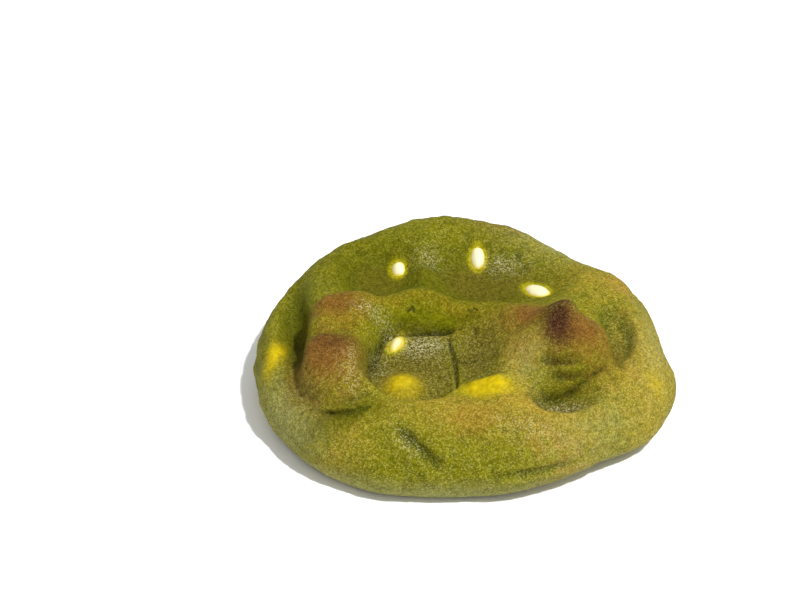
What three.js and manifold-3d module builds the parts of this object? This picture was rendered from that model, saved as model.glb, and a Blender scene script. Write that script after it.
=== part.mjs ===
// A large soft-baked matcha cookie with white chocolate chips, lying flat as it came off the tray.
// Millimetres, +Z up. The origin is on the flat underside, in the middle of the cookie's outline.
// +X is the side with the tall browned knob and -Y is the smooth front brow.
import * as THREE from "three";
import { mergeVertices } from "three/addons/utils/BufferGeometryUtils.js";
import Module from "manifold-3d";

const wasm = await Module();
wasm.setup();

// The bare form: a low loaf with a domed shoulder that tucks in under its rim.
const form = {
  // Distance of the rim from the centre, every 15 degrees from +X, counterclockwise.
  planRadii: [
    45, 44, 44, 41, 40, 42.5, 44.5, 46, 46.5, 47, 47, 47,
    47.5, 48.1, 48.6, 48.2, 47.2, 44.8, 43.5, 44.3, 44.2, 45.6, 48.3, 48.3,
  ],
  crownHeight: 19.5,
  rimHeight: 6,
  undercut: 4, // how far the sole lies in from the rim
  lift: 7, // how much further in where the rim lifts off the table
  liftAt: 305, // degrees
  liftSpread: 22,
  shoulderFront: 3, // power of the shoulder curve: higher is squarer
  shoulderBack: 4.6,
  cells: 66, // grid cells from side to side of the top
};
// The section that sets how the grid's rings are spaced.
const middleRadius = 46;
const middleShoulder = 3.6;

// Places are in mm from the form's centre, turns in degrees counterclockwise.
// A mound swells outwards by its rise over an oval, and may lean. Higher steepness has steeper sides.
const mounds = {
  leftKnob: { at: [-27.8, -17.8], half: [7.4, 8], turn: 0, rise: 5.5, steep: 2, lean: [-0.12, 0] },
  leftRidge: { at: [-26.4, -0.4], half: [8.6, 6.6], turn: 8, rise: 3.8, steep: 2.4, lean: [-0.12, 0] },
  leftSaddle: { at: [-31.6, -9], half: [4, 5.4], turn: 0, rise: 2.4, steep: 2, lean: [-0.12, 0] },
  middleRidge: { at: [-10, 2.4], half: [15, 4.8], turn: -2, rise: 1.8, steep: 1.8, lean: [0, -0.25] },
  ridgeHump: { at: [-10, 6.5], half: [5, 3], turn: 0, rise: 1.9, steep: 1.2, lean: [0, 0] },
  rightRidge: { at: [10, -1.5], half: [10, 4.6], turn: -2, rise: 1.8, steep: 1.6, lean: [0, -0.2] },
  rightKnob: { at: [20.5, -11], half: [9.6, 8.8], turn: 0, rise: 5, steep: 2.4, lean: [0.2, 0] },
  rightPeak: { at: [19.4, -4.8], half: [3, 5.2], turn: 0, rise: 2.6, steep: 1, lean: [0.2, 0.2] },
  frontBrow: { at: [-1, -31], half: [22, 4.5], turn: 2, rise: 1.4, steep: 1.2, lean: [0, 0] },
  backRim: { at: [2, 38], half: [24, 5], turn: -14, rise: 1.6, steep: 1.2, lean: [0, 0] },
  rightRim: { at: [38.5, -4], half: [14, 4], turn: 100, rise: 1.3, steep: 1.2, lean: [0, 0] },
  leftRim: { at: [-43.8, -8], half: [2.8, 12], turn: 0, rise: 1.2, steep: 1.2, lean: [0, 0] },
};

// A hollow sinks to a floor that may slope, inside a squared oval with a soft edge.
const hollows = {
  backBasin: {
    at: [6.6, 18.6], half: [17, 10.6], turn: -4, square: 2.4,
    soft: 0.28, floor: 12.6, slope: [0, 0],
  },
  backLeftCup: {
    at: [-20, 19.5], half: [8.5, 10], turn: 0, square: 2.4,
    soft: 0.26, floor: 12, slope: [0, 0],
  },
  leftGully: {
    at: [-38.8, 2.5], half: [3, 14], turn: 2, square: 2.2,
    soft: 0.45, floor: 9.2, slope: [0, -0.2],
  },
  panBrink: {
    at: [-9.5, -4], half: [9, 7.5], turn: 0, square: 2.4,
    soft: 0.3, floor: 16, slope: [0, 0],
  },
  pan: {
    at: [-11.9, -13.6], half: [9.8, 13.2], turn: 0, square: 2.3,
    soft: 0.12, floor: 13.2, slope: [0, 0.03],
  },
  panHead: {
    at: [-9.6, -6.6], half: [7.6, 7.8], turn: 0, square: 3.4,
    soft: 0.13, floor: 13.4, slope: [0, 0.03],
  },
  bay: {
    at: [1, -11.2], half: [5.8, 14.2], turn: -4, square: 3,
    soft: 0.36, floor: 14.2, slope: [0.24, 0.02],
  },
  knobFold: {
    at: [22, -24.6], half: [6.8, 3.8], turn: 12, square: 2,
    soft: 0.36, floor: 12.2, slope: [0.16, 0],
  },
  rightGully: {
    at: [33.2, -3.4], half: [3, 9.6], turn: 4, square: 2.2,
    soft: 0.26, floor: 14, slope: [0, 0],
  },
};

// A dome is a lump under the skin, most of them chips that the dough covers.
const domes = {
  panChip: { at: [-14.6, -19.4], half: [4, 4.2], turn: 0, rise: 2.4 },
  bayChip: { at: [4.2, -22.6], half: [4.6, 2.9], turn: -16, rise: 1.8 },
  leftRimChip: { at: [-43.2, -9], half: [3, 4.6], turn: 0, rise: 0.9 },
  backLump: { at: [-9, 20], half: [2.6, 2.2], turn: 30, rise: 1.2 },
};

// A crease follows points on the bare form. It may have a raised lip on its left or right side.
const creases = {
  belowLeftKnob: {
    path: [[-32.5, -29.4, 13.8], [-29, -30.6, 14.6], [-25, -30.2, 15.8], [-20.6, -29, 16.8]],
    width: 2, depth: 1.4, lips: [0.3, 0], tapers: [0.3, 0.4],
  },
  frontDent: {
    path: [
      [-16.6, -33.8, 16], [-14, -36.8, 14.7], [-11.4, -39.2, 13.4],
      [-9, -41, 12], [-7, -42.2, 10.4], [-5.4, -43, 8],
    ],
    width: 2, depth: 1.6, lips: [0.1, 0.4], tapers: [0.3, 0.35],
  },
  lowWrinkle: {
    path: [[3.4, -43.9, 8.1], [9.7, -43.2, 8.5], [16.4, -40.6, 7.9], [28.7, -32.7, 6.8]],
    width: 1.6, depth: 0.8, lips: [0.1, 0.1], tapers: [0.3, 0.3],
  },
  panToBay: {
    path: [[-4.3, -0.6, 19.5], [-3.8, -4.4, 19.5], [-2.8, -11.2, 19.4], [-2.5, -22, 18.6]],
    width: 1.4, depth: 0.8, lips: [0, 0], tapers: [0.1, 0.1],
  },
  belowRightKnob: {
    path: [[14.4, -17.2, 18.8], [16.4, -18.2, 18.6], [19, -18.4, 18.4], [25, -17.8, 18]],
    width: 1.3, depth: 1.4, lips: [0.3, 0], tapers: [0.2, 0.5],
  },
  knobTongue: {
    path: [
      [30.8, -15.6, 17.3], [29.4, -17.8, 17.3], [27.1, -19.1, 17.4],
      [22.8, -21.2, 17.5], [16.9, -23.5, 17.7], [15.4, -22.9, 17.9],
    ],
    width: 1.3, depth: 1, lips: [0, 0.2], tapers: [0.25, 0.15],
  },
  backRightFold: {
    path: [[11.1, 31, 18], [12.8, 25.7, 19], [14.6, 22, 19]],
    width: 1.4, depth: 1, lips: [0.3, 0.1], tapers: [0.4, 0.4],
  },
};

// Chips whose tops show through the dough: centre, half sizes, tilts about X and Y, and spin about Z.
const chips = {
  chip_back_left: { at: [-14.8, 24.5, 11], half: [2.6, 3.6, 3], tilt: [20, -14], spin: 0 },
  chip_back: { at: [3, 27.6, 12.3], half: [2.2, 4.4, 3.2], tilt: [26, 2], spin: 0 },
  chip_basin: { at: [17, 15, 11.6], half: [5.6, 3, 3], tilt: [6, -9], spin: -50 },
  chip_pan: { at: [-16, -4.3, 11.8], half: [2.1, 4, 2.8], tilt: [12, 6], spin: -24 },
};
const chipTaper = 0.16; // how much narrower a chip's top is than its middle
const pocketGap = 0.3; // clear space between a chip and the dough round it
const chipRings = 10; // rows of faces from a chip's top to its bottom
const chipTurns = 16; // faces in one row
const weldDistance = 1e-4; // points nearer than this are one

// Low lumps all over the dough: heights, and sizes as wavelengths over a full turn.
const lumps = { coarse: 0.34, coarseSize: 4.1, fine: 0.14, fineSize: 2 };

// How each kind of feature fades: with distance in its own radii, and towards the sole with height.
const fade = {
  mound: 0.9, // share of the rise lost at one radius, as an exponent
  domePower: 3,
  hollowEdge: 1.6,
  lipDistance: 1.9, // crease widths from the crease to the crest of its lip
  moundHeights: [1, 7], // no mound below the first height, all of it above the second
  hollowHeights: [6, 10],
  creaseHeights: [1, 4],
  lumpHeights: [0.5, 4.5],
};

const clamp01 = (t) => Math.min(1, Math.max(0, t));

// Rises from 0 to 1 with a flat start and end.
function smooth(t) {
  const c = clamp01(t);
  return c * c * (3 - 2 * c);
}

const between = (value, [low, high]) => smooth((value - low) / (high - low));

// Radius of the rim at an angle, by a Catmull-Rom curve through the plan radii.
function planRadius(angle) {
  const r = form.planRadii;
  const n = r.length;
  const turns = angle / (2 * Math.PI);
  const s = (turns - Math.floor(turns)) * n;
  const i = Math.floor(s) % n;
  const f = s - Math.floor(s);
  const [a, b, c, d] = [-1, 0, 1, 2].map((k) => r[(i + k + n) % n]);
  const bend = 2 * a - 5 * b + 4 * c - d;
  const twist = 3 * b - a - 3 * c + d;
  return 0.5 * (2 * b + (c - a) * f + bend * f ** 2 + twist * f ** 3);
}

// How many oval radii a place is from an oval's centre. Squareness 2 is an ellipse.
function ovalDistance(x, y, oval, squareness) {
  const turn = THREE.MathUtils.degToRad(oval.turn);
  const dx = x - oval.at[0];
  const dy = y - oval.at[1];
  const u = (dx * Math.cos(turn) + dy * Math.sin(turn)) / oval.half[0];
  const v = (-dx * Math.sin(turn) + dy * Math.cos(turn)) / oval.half[1];
  return (Math.abs(u) ** squareness + Math.abs(v) ** squareness) ** (1 / squareness);
}

// A square of side 2 laid onto a disc ring by ring, so that its cells keep even areas.
function squareToDisc(u, v) {
  const ring = Math.max(Math.abs(u), Math.abs(v));
  if (ring === 0) return { ring, angle: 0 };
  const across = ((Math.min(Math.abs(u), Math.abs(v)) / ring) * Math.PI) / 4;
  const corner = Math.abs(u) >= Math.abs(v) ? across : Math.PI / 2 - across;
  const signs = [u < 0 ? -1 : 1, v < 0 ? -1 : 1];
  return { ring, angle: Math.atan2(Math.sin(corner) * signs[1], Math.cos(corner) * signs[0]) };
}

// Steps of equal length down the middle section, from the crown (0) over the rim (1) to the sole (2).
function sectionSteps() {
  const shoulderSteps = 400;
  const underSteps = 200;
  const rise = form.crownHeight - form.rimHeight;
  const stops = [];
  for (let i = 0; i < shoulderSteps; i++) {
    const a = ((i / (shoulderSteps - 1)) * Math.PI) / 2;
    const out = Math.sin(a) ** (2 / middleShoulder);
    stops.push({ stage: out, x: out * middleRadius, z: form.rimHeight + rise * Math.cos(a) });
  }
  for (let i = 1; i < underSteps; i++) {
    const a = ((i / (underSteps - 1)) * Math.PI) / 2;
    const x = middleRadius - form.undercut * (1 - Math.cos(a));
    stops.push({ stage: 1 + i / (underSteps - 1), x, z: form.rimHeight * (1 - Math.sin(a)) });
  }
  let run = 0;
  stops.forEach((stop, i) => {
    if (i > 0) run += Math.hypot(stop.x - stops[i - 1].x, stop.z - stops[i - 1].z);
    stop.run = run;
  });
  stops.forEach((stop) => (stop.share = stop.run / run));
  return stops;
}
const section = sectionSteps();

function sectionStage(share) {
  const i = Math.max(1, section.findIndex((stop) => stop.share >= share - 1e-9));
  const [a, b] = [section[i - 1], section[i]];
  return a.stage + ((b.stage - a.stage) * (share - a.share)) / (b.share - a.share);
}

// The bare form at a share of the way from crown to sole, with its outward direction.
function bareForm(share, angle) {
  const stage = sectionStage(share);
  const out = Math.min(stage, 1);
  const under = (Math.max(stage - 1, 0) * Math.PI) / 2;
  const backness = 0.5 + 0.5 * Math.sin(angle);
  const power = form.shoulderFront + (form.shoulderBack - form.shoulderFront) * backness;
  const level = Math.sqrt(clamp01(1 - out ** power));
  const degrees = (THREE.MathUtils.radToDeg(angle) + 360) % 360;
  const fromLift = (degrees - form.liftAt) / form.liftSpread;
  const undercut = form.undercut + form.lift * Math.exp(-(fromLift ** 2));
  const radius = planRadius(angle) * out - undercut * (1 - Math.cos(under));
  const height =
    stage <= 1
      ? form.rimHeight + (form.crownHeight - form.rimHeight) * level
      : form.rimHeight * (1 - Math.sin(under));
  const up = stage <= 1 ? level : -Math.sin(under);
  const side = Math.sqrt(clamp01(1 - up * up));
  return {
    point: new THREE.Vector3(radius * Math.cos(angle), radius * Math.sin(angle), height),
    outward: new THREE.Vector3(side * Math.cos(angle), side * Math.sin(angle), up),
  };
}

// Nearest place on a crease's path: how far off, which side, and the share along the path.
function nearestOnPath(point, outward, path) {
  const stops = path.map((p) => new THREE.Vector3(...p));
  const total = stops.slice(1).reduce((sum, stop, i) => sum + stop.distanceTo(stops[i]), 0);
  let best = { distance: Infinity };
  let run = 0;
  for (let i = 1; i < stops.length; i++) {
    const step = stops[i].clone().sub(stops[i - 1]);
    const length = step.length();
    const t = clamp01(point.clone().sub(stops[i - 1]).dot(step) / length ** 2);
    const away = point.clone().sub(stops[i - 1].clone().addScaledVector(step, t));
    if (away.length() < best.distance) {
      const side = step.clone().cross(away).dot(outward);
      best = { distance: away.length(), side, share: (run + t * length) / total };
    }
    run += length;
  }
  return best;
}

// Waves that cross each other and bend, so that no row of lumps repeats.
function lumpHeight({ x, y, z }) {
  const c = lumps.coarseSize;
  const f = lumps.fineSize;
  const acrossX = Math.sin(x / c + 1.2 * Math.sin(y / (1.5 * c)));
  const acrossY = Math.cos(y / (0.9 * c) + 1.1 * Math.sin((z + 0.4 * x) / c));
  const fine = Math.sin((x + 0.7 * y) / f + 1.3) * Math.sin((y - 0.9 * z) / f + 0.4);
  return lumps.coarse * acrossX * acrossY + lumps.fine * fine;
}

function raiseMounds(point, bare, outward) {
  for (const mound of Object.values(mounds)) {
    const d = ovalDistance(bare.x, bare.y, mound, 2);
    const share = Math.exp(-fade.mound * d ** (2 * mound.steep)) * between(bare.z, fade.moundHeights);
    point.addScaledVector(outward, mound.rise * share);
    point.x += mound.rise * share * mound.lean[0];
    point.y += mound.rise * share * mound.lean[1];
  }
}

function sinkHollows(point, bare) {
  for (const hollow of Object.values(hollows)) {
    const d = ovalDistance(bare.x, bare.y, hollow, hollow.square);
    const edge = 1 / (1 + Math.exp(((d - 1) / hollow.soft) * fade.hollowEdge));
    const [dx, dy] = [bare.x - hollow.at[0], bare.y - hollow.at[1]];
    const floor = hollow.floor + hollow.slope[0] * dx + hollow.slope[1] * dy;
    point.z += (Math.min(point.z, floor) - point.z) * edge * between(bare.z, fade.hollowHeights);
  }
}

function raiseDomes(point, bare) {
  for (const dome of Object.values(domes)) {
    const d = ovalDistance(bare.x, bare.y, dome, 2);
    point.z += dome.rise * Math.exp(-fade.mound * d ** fade.domePower) * between(bare.z, fade.moundHeights);
  }
}

function cutCreases(point, bare, outward) {
  for (const crease of Object.values(creases)) {
    const near = nearestOnPath(bare, outward, crease.path);
    const ends = smooth(near.share / crease.tapers[0]) * smooth((1 - near.share) / crease.tapers[1]);
    const widths = near.distance / crease.width;
    const lip = near.side > 0 ? crease.lips[0] : crease.lips[1];
    const raised = lip * Math.exp(-((widths - fade.lipDistance) ** 2));
    const cut = crease.depth * Math.exp(-(widths ** 2));
    point.addScaledVector(outward, (raised - cut) * ends * between(bare.z, fade.creaseHeights));
  }
}

// The dough's surface: the bare form with mounds, then hollows, domes, creases and lumps.
function doughPoint(share, angle) {
  const { point: bare, outward } = bareForm(share, angle);
  const point = bare.clone();
  raiseMounds(point, bare, outward);
  sinkHollows(point, bare);
  raiseDomes(point, bare);
  cutCreases(point, bare, outward);
  point.addScaledVector(outward, lumpHeight(bare) * between(bare.z, fade.lumpHeights));
  return point;
}

// The closed dough: a grid over the top and round to the sole, shut by a flat fan underneath.
function doughGeometry() {
  const n = form.cells;
  const positions = [];
  const index = [];
  const at = (i, j) => i * (n + 1) + j;
  const corner = (v) => new THREE.Vector3().fromArray(positions, 3 * v);
  for (let i = 0; i <= n; i++)
    for (let j = 0; j <= n; j++) {
      const { ring, angle } = squareToDisc((2 * i) / n - 1, (2 * j) / n - 1);
      positions.push(...doughPoint(ring, angle).toArray());
    }
  for (let i = 0; i < n; i++)
    for (let j = 0; j < n; j++) {
      const [a, b, c, d] = [at(i, j), at(i + 1, j), at(i + 1, j + 1), at(i, j + 1)];
      // Each cell is split along its shorter diagonal.
      if (corner(a).distanceTo(corner(c)) < corner(b).distanceTo(corner(d))) index.push(a, b, c, a, c, d);
      else index.push(a, b, d, b, c, d);
    }
  const edge = [];
  for (let k = 0; k < n; k++) edge.push(at(k, 0));
  for (let k = 0; k < n; k++) edge.push(at(n, k));
  for (let k = n; k > 0; k--) edge.push(at(k, n));
  for (let k = n; k > 0; k--) edge.push(at(0, k));
  const sole = positions.length / 3;
  positions.push(0, 0, 0);
  edge.forEach((v, k) => index.push(sole, edge[(k + 1) % edge.length], v));
  const geometry = new THREE.BufferGeometry();
  geometry.setAttribute("position", new THREE.Float32BufferAttribute(positions, 3));
  geometry.setIndex(index);
  return geometry;
}

// An egg-shaped chip, grown all round by a margin, with its narrower end up.
function chipGeometry({ at, half, tilt, spin }, margin = 0) {
  const geometry = new THREE.SphereGeometry(1, chipTurns, chipRings);
  geometry.rotateX(Math.PI / 2);
  const p = geometry.attributes.position;
  for (let i = 0; i < p.count; i++) {
    const narrowing = 1 - chipTaper * p.getZ(i);
    p.setXY(i, p.getX(i) * narrowing, p.getY(i) * narrowing);
  }
  geometry.scale(...half.map((h) => h + margin));
  geometry.rotateX(THREE.MathUtils.degToRad(tilt[0]));
  geometry.rotateY(THREE.MathUtils.degToRad(tilt[1]));
  geometry.rotateZ(THREE.MathUtils.degToRad(spin));
  geometry.translate(...at);
  geometry.deleteAttribute("normal");
  geometry.deleteAttribute("uv");
  return mergeVertices(geometry, weldDistance);
}

function toSolid(geometry) {
  const merged = mergeVertices(geometry, weldDistance);
  const mesh = new wasm.Mesh({
    numProp: 3,
    vertProperties: new Float32Array(merged.attributes.position.array),
    triVerts: new Uint32Array(merged.index.array),
  });
  return new wasm.Manifold(mesh);
}

function toGeometry(solid) {
  const mesh = solid.getMesh();
  const geometry = new THREE.BufferGeometry();
  geometry.setAttribute("position", new THREE.BufferAttribute(new Float32Array(mesh.vertProperties), 3));
  geometry.setIndex(new THREE.BufferAttribute(new Uint32Array(mesh.triVerts), 1));
  geometry.computeVertexNormals();
  return geometry;
}

const doughMaterial = new THREE.MeshStandardMaterial({ color: 0x8c8438, roughness: 0.75, metalness: 0 });
const chipMaterial = new THREE.MeshStandardMaterial({ color: 0xf3e7b4, roughness: 0.4, metalness: 0 });

const cookie = new THREE.Group();
const bareDough = doughGeometry();
bareDough.computeBoundingBox();
const middle = bareDough.boundingBox.getCenter(new THREE.Vector3());
cookie.position.set(-middle.x, -middle.y, 0);

let doughSolid = toSolid(bareDough);
for (const chip of Object.values(chips))
  doughSolid = doughSolid.subtract(toSolid(chipGeometry(chip, pocketGap)));
const dough = new THREE.Mesh(toGeometry(doughSolid), doughMaterial);
dough.name = "dough";
cookie.add(dough);

for (const [name, chip] of Object.entries(chips)) {
  const geometry = chipGeometry(chip);
  geometry.computeVertexNormals();
  const mesh = new THREE.Mesh(geometry, chipMaterial);
  mesh.name = name;
  cookie.add(mesh);
}

export default cookie;
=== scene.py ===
import math

import bpy
import numpy as np
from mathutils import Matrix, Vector


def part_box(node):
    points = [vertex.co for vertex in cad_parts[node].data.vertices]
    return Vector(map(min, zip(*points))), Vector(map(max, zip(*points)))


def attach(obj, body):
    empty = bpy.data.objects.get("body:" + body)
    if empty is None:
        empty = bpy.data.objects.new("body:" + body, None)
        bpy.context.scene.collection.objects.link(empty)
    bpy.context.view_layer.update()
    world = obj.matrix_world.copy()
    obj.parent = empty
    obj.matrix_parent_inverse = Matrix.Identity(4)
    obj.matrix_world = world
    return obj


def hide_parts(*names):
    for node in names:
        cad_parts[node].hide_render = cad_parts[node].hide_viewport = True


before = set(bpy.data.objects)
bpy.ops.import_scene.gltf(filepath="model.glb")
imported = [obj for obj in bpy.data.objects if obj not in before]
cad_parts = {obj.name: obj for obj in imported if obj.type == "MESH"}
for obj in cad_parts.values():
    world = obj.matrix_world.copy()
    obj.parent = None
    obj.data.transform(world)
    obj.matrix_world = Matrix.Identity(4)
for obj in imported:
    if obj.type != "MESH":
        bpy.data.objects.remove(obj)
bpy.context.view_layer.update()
print("frame:", ", ".join(sorted(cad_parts)))

mm = 0.001
scene = bpy.context.scene


# The dough is shaped in mm in its own place, and moved onto the frame at the end.
doughForm = {
    # distance of the rim from the middle, every 15 degrees from +X, counterclockwise
    "planRadii": [45, 44, 44, 41, 40, 42.5, 44.5, 46, 46.5, 47, 47, 47,
                  47.5, 48.1, 48.6, 48.2, 47.2, 44.8, 43.5, 44.3, 44.2, 45.6, 48.3, 48.3],
    "crownHeight": 19.5,
    "rimHeight": 6.0,
    "undercut": 4.0,  # how far the sole lies in from the rim
    "lift": 7.0,  # how much further in where the rim lifts off the table
    "liftAt": 305,  # degrees
    "liftSpread": 22,
    "shoulderFront": 3.0,  # power of the shoulder curve, higher is squarer
    "shoulderBack": 4.6,
    "middleRadius": 46.0,  # the section that spaces the rings of the grid
    "middleShoulder": 3.6,
    "samples": (400, 200),  # points that measure the section above and below the rim
    "cells": 300,  # from side to side of the top
    "soleRings": 6,
}

# A mound swells outwards by its rise over an oval, and may lean. Higher steepness has steeper sides.
mounds = {
    "leftKnob": {"at": (-27.8, -17.8), "half": (7.4, 8), "rise": 5.5, "steep": 2.0, "lean": (-0.12, 0)},
    "leftRidge": {"at": (-26.4, -0.4), "half": (8.6, 6.6), "turn": 8, "rise": 3.8, "steep": 2.4,
                  "lean": (-0.12, 0)},
    "leftSaddle": {"at": (-31.6, -9), "half": (4, 5.4), "rise": 2.4, "steep": 2.0, "lean": (-0.12, 0)},
    "middleRidge": {"at": (-10, 2.4), "half": (15, 4.8), "turn": -2, "rise": 1.8, "steep": 1.8,
                    "lean": (0, -0.25)},
    "ridgeHump": {"at": (-10, 6.5), "half": (5, 3), "rise": 1.9, "steep": 1.2},
    "rightRidge": {"at": (10, -1.5), "half": (10, 4.6), "turn": -2, "rise": 1.8, "steep": 1.6,
                   "lean": (0, -0.2)},
    "rightKnob": {"at": (20.5, -11), "half": (9.6, 8.8), "rise": 5.0, "steep": 2.4, "lean": (0.2, 0)},
    "rightPeak": {"at": (19.4, -4.8), "half": (3, 5.2), "rise": 2.6, "steep": 1.0, "lean": (0.2, 0.2)},
    "frontBrow": {"at": (-1, -31), "half": (22, 4.5), "turn": 2, "rise": 1.4, "steep": 1.2},
    "backRim": {"at": (2, 38), "half": (24, 5), "turn": -14, "rise": 1.6, "steep": 1.2},
    "rightRim": {"at": (38.5, -4), "half": (14, 4), "turn": 100, "rise": 1.3, "steep": 1.2},
    "leftRim": {"at": (-43.8, -8), "half": (2.8, 12), "rise": 1.2, "steep": 1.2},
}

# A hollow sinks to a floor height that may slope, inside a squared oval with a soft edge.
hollows = {
    "backBasin": {"at": (6.6, 18.6), "half": (17, 10.6), "turn": -4, "square": 2.4, "soft": 0.28,
                  "floor": 12.6},
    "backLeftCup": {"at": (-20, 19.5), "half": (8.5, 10), "square": 2.4, "soft": 0.26, "floor": 12},
    "leftGully": {"at": (-38.8, 2.5), "half": (3, 14), "turn": 2, "square": 2.2, "soft": 0.45,
                  "floor": 9.2, "slope": (0, -0.2)},
    "panBrink": {"at": (-9.5, -4), "half": (9, 7.5), "square": 2.4, "soft": 0.3, "floor": 16},
    "pan": {"at": (-11.9, -13.6), "half": (9.8, 13.2), "square": 2.3, "soft": 0.07, "floor": 13.2,
            "slope": (0, 0.03)},
    "panHead": {"at": (-9.6, -6.6), "half": (7.6, 7.8), "square": 3.4, "soft": 0.09, "floor": 13.4,
                "slope": (0, 0.03)},
    "bay": {"at": (1, -11.2), "half": (5.8, 14.2), "turn": -4, "square": 3, "soft": 0.36, "floor": 14.2,
            "slope": (0.24, 0.02)},
    "knobFold": {"at": (22, -24.6), "half": (6.8, 3.8), "turn": 12, "square": 2.0, "soft": 0.36,
                 "floor": 12.2, "slope": (0.16, 0)},
    "rightGully": {"at": (33.2, -3.4), "half": (3, 9.6), "turn": 4, "square": 2.2, "soft": 0.26,
                   "floor": 14.0},
}

# Lumps under the skin, most of them chips that the dough covers.
domes = {
    "panChip": {"at": (-14.6, -19.4), "half": (4, 4.2), "rise": 2.4},
    "bayChip": {"at": (4.2, -22.6), "half": (4.6, 2.9), "turn": -16, "rise": 1.8},
    "leftRimChip": {"at": (-43.2, -9), "half": (3, 4.6), "rise": 0.9},
    "backLump": {"at": (-9, 20), "half": (2.6, 2.2), "turn": 30, "rise": 1.2},
}

# A crease follows points on the bare form. Lips are the heights of its left and right edges, the value after
# them sets how dark the shade painted into its crack is, and tapers are the shares of its length over which
# it fades in and out.
creases = {
    "belowLeftKnob": {
        "path": [(-34.4, -27.4, 12.8), (-32, -28.8, 13.9), (-29, -29.8, 14.7), (-25, -30.2, 15.8),
                 (-20.6, -29, 16.8)],
        "width": 0.7, "depth": 1.4, "lips": (0.5, 0.1), "crackShadeAmount": 0.7, "tapers": (0.4, 0.25)},
    "frontDent": {
        "path": [(-16.6, -33.8, 16), (-14, -36.8, 14.7), (-11.4, -39.2, 13.4), (-9, -41, 12),
                 (-7, -42.2, 10.4), (-5.4, -43, 8)],
        "width": 1.5, "depth": 1.6, "lips": (0.1, 0.6), "crackShadeAmount": 0.6, "tapers": (0.3, 0.35)},
    "lowWrinkle": {
        "path": [(3.4, -43.9, 8.1), (9.7, -43.2, 8.5), (16.4, -40.6, 7.9), (28.7, -32.7, 6.8)],
        "width": 1.0, "depth": 0.7, "lips": (0.3, 0.3), "crackShadeAmount": 0.15, "tapers": (0.3, 0.3)},
    "panToBay": {
        "path": [(-4.3, -0.6, 19.5), (-3.8, -4.4, 19.5), (-3.3, -7.9, 19.5), (-2.8, -11.2, 19.4),
                 (-2.5, -16.5, 19.2), (-2.5, -22, 18.6)],
        "width": 0.42, "depth": 1.0, "lips": (0.2, 0.25), "crackShadeAmount": 0.9, "tapers": (0.1, 0.1)},
    "panEdge": {
        "path": [(-0.6, -0.4, 19.5), (-3.4, -0.1, 19.5), (-6, 0.2, 19.5), (-9, 0.3, 19.5),
                 (-12.4, 0.1, 19.5), (-15.6, -1, 19.4), (-18.2, -3.4, 19.3), (-20.2, -7.6, 19.1),
                 (-21, -13, 18.9), (-20.6, -17, 18.6), (-19, -20.4, 18.4)],
        "width": 0.6, "depth": 1.2, "lips": (0, 0), "crackShadeAmount": 1.3, "tapers": (0.12, 0.25)},
    "bayCrack": {
        "path": [(-2.6, -10.8, 19.4), (0.1, -11.2, 19.4), (3.4, -11.2, 19.4)],
        "width": 0.45, "depth": 0.4, "lips": (0, 0.1), "crackShadeAmount": 0.8, "tapers": (0.1, 0.4)},
    "bayNotch": {
        "path": [(1.8, -0.2, 19.5), (1.9, -2, 19.5), (2, -4.4, 19.5)],
        "width": 0.45, "depth": 0.7, "lips": (0, 0), "crackShadeAmount": 0.8, "tapers": (0.3, 0.4)},
    "panCrack": {
        "path": [(-7.4, -16.6, 18.8), (-5.4, -14.6, 19), (-2.9, -13.2, 19)],
        "width": 0.45, "depth": 0.5, "lips": (0.15, 0), "crackShadeAmount": 0.6, "tapers": (0.4, 0.1)},
    "panSeam": {
        "path": [(-13.8, -5.8, 19.4), (-12, -4, 19.4)],
        "width": 0.4, "depth": 0.3, "lips": (0.1, 0), "crackShadeAmount": 0.4, "tapers": (0.4, 0.4)},
    "belowRightKnob": {
        "path": [(14.4, -17.2, 18.8), (16.4, -18.2, 18.6), (19, -18.4, 18.4), (22, -18.2, 18.2),
                 (25, -17.8, 18.0)],
        "width": 0.7, "depth": 1.4, "lips": (0.5, 0), "crackShadeAmount": 0.45, "tapers": (0.2, 0.5)},
    "knobTongue": {
        "path": [(30.8, -15.6, 17.3), (29.4, -17.8, 17.3), (27.1, -19.1, 17.4), (24.8, -20.2, 17.4),
                 (22.8, -21.2, 17.5), (20.1, -22.5, 17.5), (16.9, -23.5, 17.7), (15.4, -22.9, 17.9)],
        "width": 0.7, "depth": 1.1, "lips": (0, 0.3), "crackShadeAmount": 0.6, "tapers": (0.25, 0.15)},
    "tongueFold": {
        "path": [(16.2, -19.6, 18.2), (19.4, -20.2, 17.9), (23, -19.6, 17.8), (27, -18, 17.7)],
        "width": 0.55, "depth": 0.7, "lips": (0.3, 0.3), "crackShadeAmount": 0.2, "tapers": (0.3, 0.3)},
    "ridgeNickLeft": {
        "path": [(-13.6, 2.6, 19.4), (-12.2, 3.4, 19.5), (-11.4, 2.6, 19.5)],
        "width": 0.3, "depth": 0.6, "lips": (0, 0), "crackShadeAmount": 1.0, "tapers": (0.2, 0.2)},
    "ridgeNickRight": {
        "path": [(0, 4, 19.5), (1, 3.2, 19.5), (1.8, 3.8, 19.5), (3, 2.8, 19.5)],
        "width": 0.3, "depth": 0.6, "lips": (0, 0), "crackShadeAmount": 1.0, "tapers": (0.2, 0.2)},
    "backRightFold": {
        "path": [(11.1, 31, 18), (12.8, 25.7, 19), (14.6, 22, 19)],
        "width": 0.9, "depth": 1.2, "lips": (0.4, 0.1), "crackShadeAmount": 0.2, "tapers": (0.4, 0.4)},
}

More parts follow.
